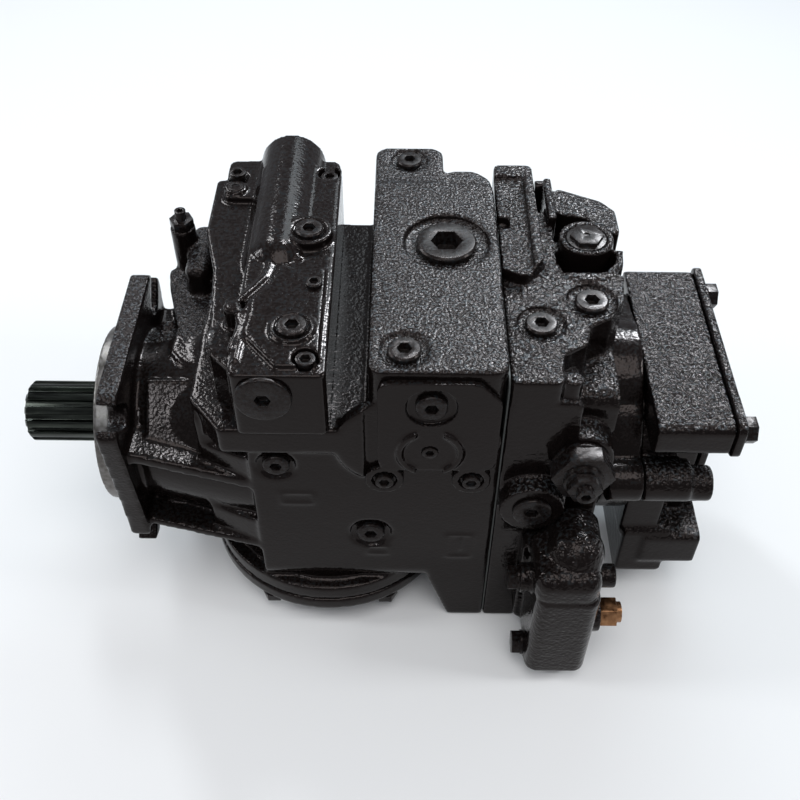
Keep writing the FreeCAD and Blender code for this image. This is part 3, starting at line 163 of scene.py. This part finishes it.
def paint(name, scale, grain, wave, glint, walls=0.2, rough=(0.12, 0.24)):
    """Gloss black paint over a casting.

    grain and wave are the heights in metres of its fine and broad relief, glint is the grey of the
    painted highlights on the tops of the grains, and walls is how much of the grain and of these
    painted highlights is left on upright faces.
    """
    mat, tree, shader = material(name, BLACK_PAINT, 0.25, specular=0.16)
    shader.inputs["Specular Tint"].default_value = WARM_TINT
    fine = times(tree, noise(tree, scale, 1.0), upward(tree, walls))
    # Painted glints: the grain's relief is real, but its tops are painted a lighter bluish grey, mostly
    # on faces that look up.
    painted_glint_colour = (glint, glint * 1.12, glint * 1.22)
    stops = [(0.40, BLACK_PAINT), (0.52, PAINTED_DIM_GLINT), (0.68, painted_glint_colour)]
    tree.links.new(ramp(tree, fine, stops), shader.inputs["Base Color"])
    blotches = noise(tree, BLOTCH_SCALE, 3.0)
    tree.links.new(ramp(tree, blotches, [(0.3, rough[0]), (0.7, rough[1])]), shader.inputs["Roughness"])
    waves = bump(tree, noise(tree, WAVE_SCALE), wave)
    tree.links.new(bump(tree, fine, grain, waves), shader.inputs["Normal"])
    return mat


def metal(name, dark, light, rough, relief, scale=260.0, stretch=None, metallic=1.0):
    """Bare or plated metal, or rubber, that varies between a dark and a light colour."""
    mat, tree, shader = material(name, dark, rough[0], metallic)
    worn = noise(tree, scale, 4.0, stretch)
    tree.links.new(ramp(tree, worn, [(0.3, dark), (0.72, light)]), shader.inputs["Base Color"])
    tree.links.new(ramp(tree, worn, [(0.3, rough[0]), (0.7, rough[1])]), shader.inputs["Roughness"])
    tree.links.new(bump(tree, noise(tree, scale * 3, 3.0, stretch), relief), shader.inputs["Normal"])
    return mat


# Roughness is given as a (low, high) pair everywhere.
# paint: noise scale per metre, grain and wave heights in metres, grey of the painted glints, walls,
# roughness.
MATS = {
    "fine": paint("black_paint_fine", 560.0, 0.0010, 0.00008, 0.036),
    "coarse": paint("black_paint_coarse", 430.0, 0.0017, 0.0002, 0.031, 0.06, (0.08, 0.17)),
    "rough": paint("black_paint_rough", 380.0, 0.0010, 0.0003, 0.012, 0.4, (0.07, 0.15)),
    "smooth": paint("black_paint_smooth", 480.0, 0.0002, 0.0001, 0.007, 0.5, (0.08, 0.18)),
    "part": paint("black_painted_steel", 420.0, 0.00012, 0.00004, 0.009, 1.0, (0.20, 0.34)),
    "shaft": metal(
        "oiled_steel", (0.012, 0.013, 0.012), (0.050, 0.056, 0.048), (0.14, 0.28), 0.00002,
        scale=60.0, stretch=(0.6, 5.0, 5.0),
    ),
    "satin": metal(
        "machined_aluminium", (0.085, 0.078, 0.070), (0.19, 0.18, 0.175), (0.30, 0.45), 0.00002,
        scale=300.0,
    ),
    "steel": metal("ground_steel", (0.30, 0.30, 0.31), (0.42, 0.42, 0.43), (0.2, 0.34), 0.00002),
    "brass": metal("dull_brass", (0.16, 0.075, 0.035), (0.38, 0.20, 0.10), (0.25, 0.45), 0.00005),
    "bronze": metal("machined_bronze", (0.36, 0.24, 0.12), (0.52, 0.37, 0.2), (0.25, 0.4), 0.00003),
    "rubber": metal(
        "seal_rubber", (0.012, 0.012, 0.012), (0.025, 0.025, 0.025), (0.55, 0.75), 0.00005,
        metallic=0.0,
    ),
    "gasket": metal(
        "gasket_fibre", (0.02, 0.022, 0.02), (0.05, 0.052, 0.05), (0.6, 0.8), 0.00006, metallic=0.0,
    ),
}


# ---- mesh helpers ----
def mesh_object(name, bm, finish):
    mesh = bpy.data.meshes.new(name)
    bm.to_mesh(mesh)
    bm.free()
    obj = bpy.data.objects.new(name, mesh)
    SCENE.collection.objects.link(obj)
    mesh.materials.append(MATS[finish])
    return obj


def node_bmesh(node):
    """The CAD node's mesh with its faces joined up again."""
    bm = bmesh.new()
    bm.from_mesh(NODES[node].data)
    bmesh.ops.remove_doubles(bm, verts=bm.verts, dist=2e-6)
    return bm


def baked(obj):
    """Applies the object's modifiers to its mesh."""
    graph = bpy.context.evaluated_depsgraph_get()
    mesh = bpy.data.meshes.new_from_object(obj.evaluated_get(graph), depsgraph=graph)
    old = obj.data
    for mat in old.materials:
        if mat.name not in mesh.materials:
            mesh.materials.append(mat)
    obj.modifiers.clear()
    obj.data = mesh
    bpy.data.meshes.remove(old)


def vertex_points(mesh):
    co = np.empty(len(mesh.vertices) * 3, np.float32)
    mesh.vertices.foreach_get("co", co)
    return co.reshape(-1, 3) / MM


def arc(u, v, radius, start, end, steps=24):
    """Points in mm on a circle between two angles in degrees."""
    angles = np.radians(np.linspace(start, end, steps))
    return [(u + radius * math.cos(a), v + radius * math.sin(a)) for a in angles]


def add_prism(bm, outline, low, high):
    """Prism in mm along X, over an outline of (y, z) points."""
    rings = [[bm.verts.new(Vector((x, y, z)) * MM) for y, z in outline] for x in (low, high)]
    faces = [bm.faces.new(rings[0]), bm.faces.new(rings[1])]
    count = len(outline)
    for i in range(count):
        j = (i + 1) % count
        faces.append(bm.faces.new((rings[0][i], rings[0][j], rings[1][j], rings[1][i])))
    bmesh.ops.recalc_face_normals(bm, faces=faces)


def add_rod(bm, start, along, radius, sides=40):
    """Round rod in mm from a point, along a vector that is as long as the rod."""
    start, along = Vector(start) * MM, Vector(along) * MM
    turn = along.to_track_quat("Z", "Y").to_matrix().to_4x4()
    bmesh.ops.create_cone(
        bm, cap_ends=True, segments=sides, radius1=radius * MM, radius2=radius * MM,
        depth=along.length, matrix=Matrix.Translation(start + along / 2) @ turn,
    )


def add_ball(bm, centre, radius, sides):
    bmesh.ops.create_uvsphere(
        bm, u_segments=sides, v_segments=sides // 2 + 2, radius=radius * MM,
        matrix=Matrix.Translation(Vector(centre) * MM),
    )


def add_tube(bm, points, radius, sides=10):
    """Round bead in mm along a line of points, with a ball at each of them."""
    for a, b in zip(points, points[1:]):
        add_rod(bm, a, Vector(b) - Vector(a), radius, sides)
    for point in points:
        add_ball(bm, point, radius * 1.02, sides)


def shade(mesh, limit):
    """Smooth shading with sharp edges where faces meet at more than the limit in degrees."""
    mesh.polygons.foreach_set("use_smooth", np.ones(len(mesh.polygons), bool))
    mesh.set_sharp_from_angle(angle=math.radians(limit))


def finish_piece(obj, node, body="housing"):
    """Hides the CAD node that the piece takes the place of and puts the piece on its body."""
    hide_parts(node)
    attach(obj, body)
    return obj


# ---- castings ----
FASTENERS = [
    "large_socket_plugs", "socket_plugs", "spool_end_caps", "multifunction_valve_front",
    "multifunction_valve_back", "charge_relief_valve", "cap_screws_m8", "cap_screws_m12",
    "hex_bolts_m10", "hex_bolts_m8", "neutral_adjuster", "servo_adjuster",
]
NEAR_FASTENERS = 0.25  # how freely a casting is smoothed round them
CASTING_SMOOTH_LIMIT = 60  # degrees between faces, above which an edge is sharp
MACHINED_SMOOTH_LIMIT = 32


def loose_parts(bm):
    """Centre and half-size in mm of each separate piece of a mesh."""
    left, found = set(bm.verts), []
    while left:
        queue = [left.pop()]
        points = []
        while queue:
            vert = queue.pop()
            points.append(vert.co[:])
            for edge in vert.link_edges:
                other = edge.other_vert(vert)
                if other in left:
                    left.discard(other)
                    queue.append(other)
        low, high = np.min(points, 0) / MM, np.max(points, 0) / MM
        found.append(((low + high) / 2, (high - low) / 2))
    return found


def fastener_zones():
    """Boxes in mm round every fastener and plug, in which the castings stay crisp."""
    zones = []
    for node in FASTENERS:
        bm = node_bmesh(node)
        for centre, half in loose_parts(bm):
            reach = np.sort(half)[1] * 0.72 + 2.0
            zones.append((centre - half - reach, centre + half + reach))
        bm.free()
    return zones


ZONES = fastener_zones()


def softness(obj, freedom):
    """Vertex group that says how freely each point may be smoothed, in steps of a tenth."""
    points = vertex_points(obj.data)
    weight = np.clip(freedom(points), 0, 1) if freedom else np.ones(len(points))
    for low, high in ZONES:
        weight[np.all((points > low) & (points < high), 1)] = NEAR_FASTENERS
    group = obj.vertex_groups.new(name="soft")
    steps = np.round(weight, 1)
    for level in np.unique(steps):
        group.add(np.nonzero(steps == level)[0].tolist(), float(level), "REPLACE")
    return group.name


def casting(node, finish, grid, rounds, extra=None, freedom=None):
    """Casting grown from the CAD node: its edges and joins are blended as in a sand mould.

    grid is in mm and rounds counts the smoothing passes. extra adds shapes to the mesh. freedom
    takes points in mm and returns how freely each may be smoothed, from 0 to 1.
    """
    bm = node_bmesh(node)
    if extra:
        extra(bm)
    obj = mesh_object("cast_" + node, bm, finish)
    change = obj.modifiers.new("voxels", "REMESH")
    change.mode = "VOXEL"
    change.voxel_size = grid * MM
    change.use_smooth_shade = True
    baked(obj)
    group = softness(obj, freedom)
    blend = obj.modifiers.new("blend", "SMOOTH")
    blend.factor = 0.5
    blend.iterations = rounds
    blend.vertex_group = group
    baked(obj)
    obj.vertex_groups.clear()
    shade(obj.data, CASTING_SMOOTH_LIMIT)
    return finish_piece(obj, node)


def control_ridges(bm):
    """Cast ridges, bosses and the low step on top of the control block."""
    outer = [
        (129, 16.5), (124, 20.6), (112.5, 19.4), (110.3, 15.2), (110, 5), (108.2, -3),
        (100.6, -15.8), (94, -25.5), (91, -33), (98.5, -42), (94, -70.4),
    ]
    inner = [(114.4, -7.8), (114.5, -15.6), (101.8, -27.3), (99.1, -36.6), (99.5, -51), (97.9, -79)]
    step = [(75.6, -40), (75, -54), (80.5, -58), (89.7, -58)]
    beads = [
        (outer, CONTROL_TOP_Z - 1, 2.3),
        (inner, CONTROL_TOP_Z - 1, 2.3),
        (step, CONTROL_STEP_Z + 1.5, 1.8),
    ]
    for line, z, radius in beads:
        add_tube(bm, [(x, y, z) for x, y in line], radius)
    bosses = [((90.6, -33), 0, 17.5, 5.6), ((98.5, -42), 0, 16.5, 5.0), ((76, 103), 2, 7.5, 8.0)]
    for (x, y), lift, height, radius in bosses:
        add_rod(bm, (x, y, CONTROL_STEP_Z + lift), (0, 0, height), radius)


def control_freedom(points):
    """Keeps the control block's front face flat."""
    return np.clip((points[:, 1] - CONTROL_FRONT_Y) / 3.0, 0.12, 1)


def label_pads(bm):
    """Blank raised frames where castings carry their foundry pads."""
    bead = 0.9
    pads = [(127.0, 8.0, 22.0, 11.0), (181.0, -52.0, 15.0, 9.0), (239.0, -46.0, 18.0, 26.0)]
    for x, z, wide, high in pads:
        left, right, low, top = x - wide / 2, x + wide / 2, z - high / 2, z + high / 2
        line = [(left, low), (right, low), (right, top), (left, top), (left, low)]
        add_tube(bm, [(u, HOUSING_FRONT_Y, v) for u, v in line], bead)
    bar_y = HOUSING_FRONT_Y - 0.2
    add_tube(bm, [(240.0, bar_y, -50.0), (240.0, bar_y, -37.0)], bead)


def housing_freedom(points):
    """Keeps the turned register at the front of the flange crisp."""
    near_axis = np.hypot(points[:, 1], points[:, 2])
    register = (points[:, 0] < FLANGE_FACE_X + 0.5) & (near_axis < PILOT_REACH)
    return np.where(register, 0.1, 1.0)


def charge_neck(bm):
    """Cast bridge between the end cap and the rear unit, over the charge pump's chamber."""
    crown = arc(4.0, 34.0, 46.0, 170, 62) + arc(44.0, 40.0, 32.0, 78, -35)
    underside = arc(0.0, 0.0, CHARGE_CHAMBER_WALL_R, 17, 134)
    add_prism(bm, crown + underside, *CHARGE_PUMP_X)


def face_finishes(obj):
    """Housing: bright turned register, grainy flange rim and tall block with the strongest painted
    glints, and smooth neck and walls.
    """
    mesh = obj.data
    mesh.materials.append(MATS["satin"])
    mesh.materials.append(MATS["fine"])
    smooth, satin, fine = range(3)
    centres = np.empty(len(mesh.polygons) * 3, np.float32)
    mesh.polygons.foreach_get("center", centres)
    x, y, z = (centres.reshape(-1, 3) / MM).T
    flange = x < FLANGE_BACK_X
    tall_block = (x > TALL_BLOCK_X) & (z > TALL_BLOCK_Z)
    ear = (x < EAR_BACK_X) & (y > EAR_Y) & (z > EAR_Z)
    register = (x < FLANGE_FACE_X - 0.4) & (np.hypot(y, z) < PILOT_REACH)
    index = np.full(len(x), smooth, np.int32)
    index[flange | tall_block | ear] = fine
    index[register] = satin
    mesh.polygons.foreach_set("material_index", index)


housing = casting("pump_housing", "smooth", 1.5, 9, label_pads, housing_freedom)
casting("control_block", "smooth", 1.2, 9, control_ridges, control_freedom)
casting("end_cap", "coarse", 1.4, 8)
casting("bottom_cover", "smooth", 1.6, 5)
casting("servo_cover", "smooth", 1.0, 5)
casting("charge_pump_housing", "smooth", 1.5, 7, charge_neck)
casting("rear_unit", "coarse", 1.5, 7)
casting("rear_cover", "coarse", 1.2, 5)
casting("filter_adapter", "rough", 1.2, 8)
casting("hose_bracket", "smooth", 1.0, 4)
face_finishes(housing)


# ---- fasteners and turned pieces ----
def machined(node, finish, edge, body="housing"):
    """Turned or milled piece: the CAD shape with its edges broken by edge mm."""
    bm = node_bmesh(node)
    bmesh.ops.dissolve_limit(bm, angle_limit=0.01, verts=bm.verts, edges=bm.edges)
    obj = mesh_object("fit_" + node, bm, finish)
    bevel = obj.modifiers.new("edges", "BEVEL")
    bevel.width = edge * MM
    bevel.segments = 2
    bevel.limit_method = "ANGLE"
    bevel.angle_limit = math.radians(MACHINED_SMOOTH_LIMIT)
    bevel.use_clamp_overlap = True
    baked(obj)
    shade(obj.data, MACHINED_SMOOTH_LIMIT)
    return finish_piece(obj, node, body)


for node in FASTENERS:
    machined(node, "part", 0.6)
machined("brass_fitting", "brass", 0.5)
machined("drive_shaft", "shaft", 0.4, "shaft")
machined("seal_retainer", "satin", 0.4)

# ---- finishes of the CAD nodes that stay as they are ----
SLOTS = {
    "dark_steel": "steel", "bronze": "bronze", "seal_rubber": "rubber", "gasket_fibre": "gasket",
    "oiled_steel": "shaft", "machined_aluminium": "satin", "gloss_black_paint": "smooth",
    "painted_steel": "part", "brass": "brass",
}
for part in frame["record"]["subparts"]:
    shown = NODES[part["node"]]
    if not shown.hide_render:
        shown.data.materials.clear()
        shown.data.materials.append(MATS[SLOTS[part["material_slot"]]])


# ---- stage and light ----
def stage(size=6.0):
    mesh = bpy.data.meshes.new("floor")
    low = CAD_BOUNDS[0][2]
    corners = [(-size, -size), (size, -size), (size, size), (-size, size)]
    mesh.from_pydata([(x, y, low) for x, y in corners], [], [(0, 1, 2, 3)])
    floor = bpy.data.objects.new("floor", mesh)
    SCENE.collection.objects.link(floor)
    mat, _, _ = material("pale_floor", (0.82, 0.82, 0.82), 0.9, specular=0.1)
    mesh.materials.append(mat)
    floor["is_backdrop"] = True


def area(name, place, target, size, power, colour, only=None):
    """Rectangular light aimed at a target; only is a collection that it lights alone."""
    data = bpy.data.lights.new(name, "AREA")
    data.shape = "RECTANGLE"
    data.size, data.size_y = size
    data.energy = power
    data.color = colour
    obj = bpy.data.objects.new(name, data)
    obj.location = place
    obj.rotation_euler = (Vector(target) - Vector(place)).to_track_quat("-Z", "Y").to_euler()
    SCENE.collection.objects.link(obj)
    if only:
        obj.light_linking.receiver_collection = only


stage()
MIDDLE = (0.2, 0.0, 0.05)
WHITE, PALE_BLUE, COOL = (1, 1, 1), (0.95, 0.98, 1.0), (0.86, 0.94, 1.0)
area("back_softbox", (0.62, 1.10, 1.08), (0.3, 0.0, 0.1), (0.95, 0.55), 7.5, (0.80, 0.93, 1.0))
area("back_strip", (-0.55, 1.2, 1.3), MIDDLE, (0.25, 0.5), 9.0, (0.9, 0.96, 1.0))
area("left_softbox", (-1.3, -0.1, 0.8), MIDDLE, (0.3, 0.6), 7.0, PALE_BLUE)
area("right_softbox", (1.5, -0.2, 0.9), MIDDLE, (0.3, 0.5), 7.0, PALE_BLUE)
area("high_fill", (0.3, -0.9, 2.4), MIDDLE, (1.6, 1.6), 30.0, WHITE)

# The glints light the pump alone, so that the grain shows without the floor burning out.
pump = bpy.data.collections.new("pump")
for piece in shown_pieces():
    pump.objects.link(piece)
area("glint_right", (0.95, 1.15, 1.25), (0.38, 0.0, 0.08), (0.45, 0.30), 38.0, COOL, pump)
area("glint_back", (0.40, 1.10, 1.70), MIDDLE, (0.50, 0.10), 14.0, COOL, pump)
area("glint_front", (-0.45, -1.10, 1.10), (0.01, -0.05, 0.07), (0.22, 0.22), 3.0, COOL, pump)
area("glint_left", (-1.30, 0.45, 0.90), MIDDLE, (0.20, 0.50), 9.0, COOL, pump)

world = bpy.data.worlds.new("studio")
world.use_nodes = True
world.node_tree.nodes["Background"].inputs["Color"].default_value = (0.9, 0.93, 1.0, 1)
world.node_tree.nodes["Background"].inputs["Strength"].default_value = 0.38
SCENE.world = world
SCENE.view_settings.view_transform = "Standard"

# ---- camera: solved from the shaft, the flange and the castings' straight edges ----
CAMERA_PLACE = (0.195707, -0.502519, 0.554154)
CAMERA_ELEVATION, CAMERA_ROLL = math.radians(47), math.radians(0.6)
forward = Vector((0, math.cos(CAMERA_ELEVATION), -math.sin(CAMERA_ELEVATION)))
up = Vector((0, math.sin(CAMERA_ELEVATION), math.cos(CAMERA_ELEVATION)))
right = Vector((1, 0, 0))
side = math.cos(CAMERA_ROLL) * right + math.sin(CAMERA_ROLL) * up
top = -math.sin(CAMERA_ROLL) * right + math.cos(CAMERA_ROLL) * up
camera = bpy.data.objects.new("camera", bpy.data.cameras.new("camera"))
SCENE.collection.objects.link(camera)
camera.data.lens = 45.45
camera.data.sensor_width = 36
camera.data.clip_start, camera.data.clip_end = 0.01, 100
rows = [(side[i], top[i], -forward[i], place) for i, place in enumerate(CAMERA_PLACE)]
camera.matrix_world = Matrix(rows + [(0, 0, 0, 1)])
SCENE.camera = camera
